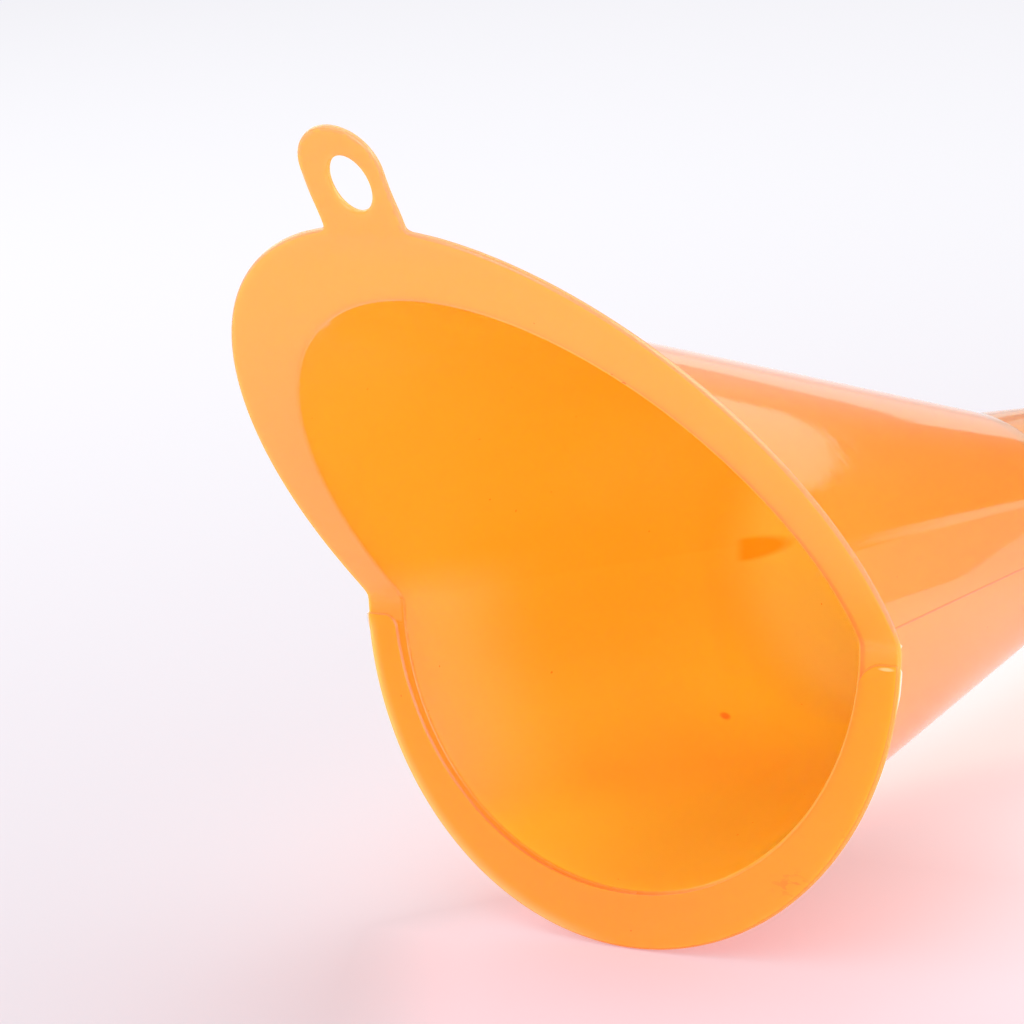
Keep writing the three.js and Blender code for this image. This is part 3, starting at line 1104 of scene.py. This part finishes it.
def plastic(name):
    """Orange polyethylene: light passes into the thin wall, the skin has a soft gloss."""
    material, shader = new_material(name)
    n = Nodes(material)
    place, (x, y, z) = axis_place(n)
    names = ("outside", "flange", "pad", "border", "groove", "rim", "brim", "flash")
    marks = {mark: n.attribute(mark) for mark in names}
    marks["crease"] = n.times(marks["pad"], n.math("SUBTRACT", 1.0, marks["pad"]))
    cloud = n.span(n.noise(place, 0.018, 4.0), 0.3, 0.7)
    base = n.mix(cloud, (1.0, 0.225, 0.042, 1), (1.0, 0.205, 0.034, 1))
    base = wall_tones_and_painted_light(n, x, y, z, base)
    base = marked_shades(n, z, marks, base)
    base = spots_and_scuffs(n, place, base)
    seam = n.times(n.span(n.math("ABSOLUTE", z), 0.3, 0.1), marks["outside"])
    base = n.paint(base, (1.0, 0.07, 0.004, 1), seam, 0.5)
    base = n.paint(base, (1.0, 0.45, 0.36, 1), marks["flash"], 0.7)
    n.link(base, shader.inputs["Base Color"])
    shader.inputs["Subsurface Weight"].default_value = 1.0
    shader.inputs["Subsurface Radius"].default_value = (1.0, 0.85, 0.3)
    shader.inputs["Subsurface Scale"].default_value = 0.010
    shader.inputs["IOR"].default_value = 1.5
    moulded_skin(n, place, marks, seam, shader)
    return material


def spots_and_scuffs(n, place, base):
    """Marks on the plastic: a darker leaf-shaped mark deep in the cone, a small dark round spot, fine specks,
    scuffs on the lower flange, and a pale smear and dot near the -Y fold.
    """
    leaf_start = n.span(n.dot(place, (1, 0, 0)), 83.2, 86.8)
    leaf = n.times(spot(n, place, (85.5, 30.0, -0.9), (16.5, 9.0, 2.8), 0.4), leaf_start)
    dot = spot(n, place, (63.2, 20.5, -29.7), (1.6, 1.6, 1.2), 0.7)
    specks = n.span(n.noise(place, 0.7, 1.0), 0.80, 0.83)
    scuffs = n.span(n.noise(n.scaled(place, (1.0, 0.5, 1.4)), 0.8, 4.0), 0.50, 0.62)
    rim_scuff = spot(n, place, (0.0, -47.5, -36.5), (3.0, 2.2, 5.0), 0.8)
    face_scuff = spot(n, place, (0.0, -36.0, -45.0), (3.0, 7.0, 4.0), 0.9)
    worn = n.math("MAXIMUM", rim_scuff, face_scuff)
    smear = spot(n, place, (0.0, -56.0, -4.2), (1.0, 2.2, 0.45), 0.5)
    pale_dot = spot(n, place, (0.0, -47.4, -9.4), (1.0, 0.7, 0.8), 0.5)
    for colour, *shares in (
        ((1.0, 0.135, 0.002, 1), leaf, 0.9),
        ((1.0, 0.05, 0.02, 1), dot, 0.9),
        ((1.0, 0.07, 0.004, 1), specks, 0.7),
        ((1.0, 0.05, 0.03, 1), scuffs, worn, 0.3),
        ((1.0, 0.5, 0.36, 1), n.math("MAXIMUM", smear, pale_dot), 0.6),
    ):
        base = n.paint(base, colour, *shares)
    return base


def wire_metal():
    material, shader = new_material("gauze_wire")
    n = Nodes(material)
    place = n.object_place()
    steel = n.mix(n.noise(place, 700.0), (0.62, 0.60, 0.56, 1), (0.78, 0.77, 0.74, 1))
    n.link(steel, shader.inputs["Base Color"])
    shader.inputs["Metallic"].default_value = 1.0
    n.link(n.span(n.noise(place, 2500.0), 0.3, 0.7, 0.22, 0.4), shader.inputs["Roughness"])
    return material


# ---- stage

def flat_sheet(name, corners, material_name):
    """A flat sheet of the stage, its corners in frame metres, with a material of its own."""
    mesh = bpy.data.meshes.new(name)
    mesh.from_pydata(corners, [], [tuple(range(len(corners)))])
    sheet = bpy.data.objects.new(name, mesh)
    bpy.context.scene.collection.objects.link(sheet)
    material, shader = new_material(material_name)
    mesh.materials.append(material)
    return sheet, Nodes(material), shader


def table_colours(n, shader):
    """A matt white table, painted a little darker towards the near side, with a painted pink pool and painted
    glow near the funnel that stand in for its coloured shadow and the light through its plastic.
    """
    place = n.object_place()
    length = n.dot(place, (1, 0, 0))
    across = n.dot(place, (0, 1, 0))
    # Painted pink pool in front of the funnel, standing in for its coloured shadow
    near = n.math(
        "MINIMUM",
        n.math("SUBTRACT", GLOW_FRONT_REACH, n.dot(place, GLOW_FRONT)),
        n.math("SUBTRACT", GLOW_SIDE_REACH, n.dot(place, GLOW_SIDE)),
    )
    beside = spot(n, place, GLOW_CENTRE, GLOW_EXTENT, 0.6)
    glow = n.times(n.span(near, -0.012, 0.018), beside)
    # Painted shade: the white is a little darker towards the near side
    far = n.span(n.dot(place, (0.8, 0.6, 0.0)), -0.15, 0.6)
    white = n.mix(far, TABLE_NEAR, TABLE_FAR)
    n.link(n.paint(white, TABLE_PINK, glow, 0.8), shader.inputs["Base Color"])
    shader.inputs["Roughness"].default_value = 0.6
    shader.inputs["Specular IOR Level"].default_value = 0.0
    # Painted glow under the funnel and beside it, lifting the shade it casts
    under = n.times(n.span(length, -0.19, -0.05), n.span(length, 0.18, 0.02), n.span(across, 0.08, 0.01))
    fill = n.times(n.span(across, 0.2, 0.05), n.span(length, -0.2, -0.1))
    tint = n.mix(glow, UNDER_LIGHT, GLOW_LIGHT)
    n.link(n.paint(tint, UNDER_GLOW, under, glow), shader.inputs["Emission Color"])
    strength = n.math("MAXIMUM", n.times(glow, GLOW_STRENGTH), n.times(under, UNDER_STRENGTH))
    strength = n.math("MAXIMUM", strength, n.times(fill, FILL_STRENGTH))
    n.link(n.times(strength, beside), shader.inputs["Emission Strength"])


def table_top():
    corners = [(x * TABLE_SIZE, y * TABLE_SIZE, 0) for x, y in ((-1, -1), (1, -1), (1, 1), (-1, 1))]
    floor, n, shader = flat_sheet("table_top", corners, "white_table")
    table_colours(n, shader)


def area_light(name, place, target, size, power, colour, only_on):
    data = bpy.data.lights.new(name, "AREA")
    data.shape = "RECTANGLE"
    data.size, data.size_y = size
    data.energy = power
    data.color = colour
    lamp = bpy.data.objects.new(name, data)
    lamp.location = place
    lamp.rotation_euler = (Vector(target) - Vector(place)).to_track_quat("-Z", "Y").to_euler()
    lamp.visible_camera = False
    if only_on is not None:
        lamp.light_linking.receiver_collection = only_on
    bpy.context.scene.collection.objects.link(lamp)


def studio_flag(name, corners, colour):
    """A card that stands only in the gloss of the plastic: it hides nothing and casts no shadow."""
    sheet, n, shader = flat_sheet(name, corners, name)
    sheet.visible_camera = False
    sheet.visible_diffuse = False
    sheet.visible_transmission = False
    sheet.visible_shadow = False
    shader.inputs["Base Color"].default_value = colour
    shader.inputs["Roughness"].default_value = 0.9
    return n, shader


def dark_surroundings():
    """The room beyond the table: only the plastic's gloss shows it."""
    n, shader = studio_flag("dark_room", [(ROOM_END, y, z) for y, z in ROOM_OUTLINE], ROOM_NEAR)
    side = n.span(n.dot(n.object_place(), (0, 1, 0)), 0.1, 0.75)
    n.link(n.mix(side, ROOM_NEAR, ROOM_SIDE), shader.inputs["Base Color"])
    studio_flag("grey_card", [(x, y, FLOOR_LIFT) for x, y in CARD_OUTLINE], CARD_GREY)
    studio_flag("orange_flag", [(FLAG_END, y, z) for y, z in FLAG_OUTLINE], FLAG_ORANGE)
    studio_flag("dark_floor", [(x, y, FLOOR_LIFT) for x, y in FLOOR_OUTLINE], FLOOR_DARK)


def studio(pieces):
    """An even white room; the side lamps light only the funnel, so the floor stays plain."""
    world = bpy.data.worlds.new("studio")
    bpy.context.scene.world = world
    world.use_nodes = True
    background = world.node_tree.nodes["Background"]
    background.inputs["Color"].default_value = ROOM_WHITE
    background.inputs["Strength"].default_value = ROOM_STRENGTH
    for *lamp, funnel_only in LAMPS:
        area_light(*lamp, pieces if funnel_only else None)
    dark_surroundings()
    bpy.context.scene.view_settings.view_transform = "Standard"


def camera():
    azimuth, drop, roll = (math.radians(v) for v in (VIEW_AZIMUTH, VIEW_DROP, VIEW_ROLL))
    level_part = math.cos(drop)
    forward = Vector((level_part * math.cos(azimuth), level_part * math.sin(azimuth), -math.sin(drop)))
    level = forward.cross(Vector((0, 0, 1))).normalized()
    rise = level.cross(forward)
    right = level * math.cos(roll) - rise * math.sin(roll)
    up = level * math.sin(roll) + rise * math.cos(roll)
    data = bpy.data.cameras.new("camera")
    data.sensor_width = 36.0
    data.lens = VIEW_LENS
    data.clip_end = 20.0
    view = bpy.data.objects.new("camera", data)
    turn = TO_FRAME @ Matrix((right, up, -forward)).transposed()
    start = Vector(VIEW_AIM) - forward * VIEW_DISTANCE
    view.matrix_world = Matrix.Translation(MOUTH + TO_FRAME @ start / 1000) @ turn.to_4x4()
    bpy.context.scene.collection.objects.link(view)
    bpy.context.scene.camera = view


PIECES = bpy.data.collections.new("funnel_pieces")
camera()
table_top()
studio(PIECES)

ORANGE = plastic("orange_plastic")
WIRE = wire_metal()
for make, material, slot, body, nodes in (
    (bowl, ORANGE, "orange_plastic", "funnel_body", ("bowl",)),
    (spout, ORANGE, "orange_plastic", "spout", ("spout",)),
    (strainer_frame, ORANGE, "orange_plastic", "strainer", ("strainer_frame",)),
    (gauze, WIRE, "steel_gauze", "strainer", ("strainer_gauze",)),
):
    piece = make()
    PIECES.objects.link(piece)
    piece.data.materials.append(material)
    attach(piece, body)
    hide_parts(*nodes)
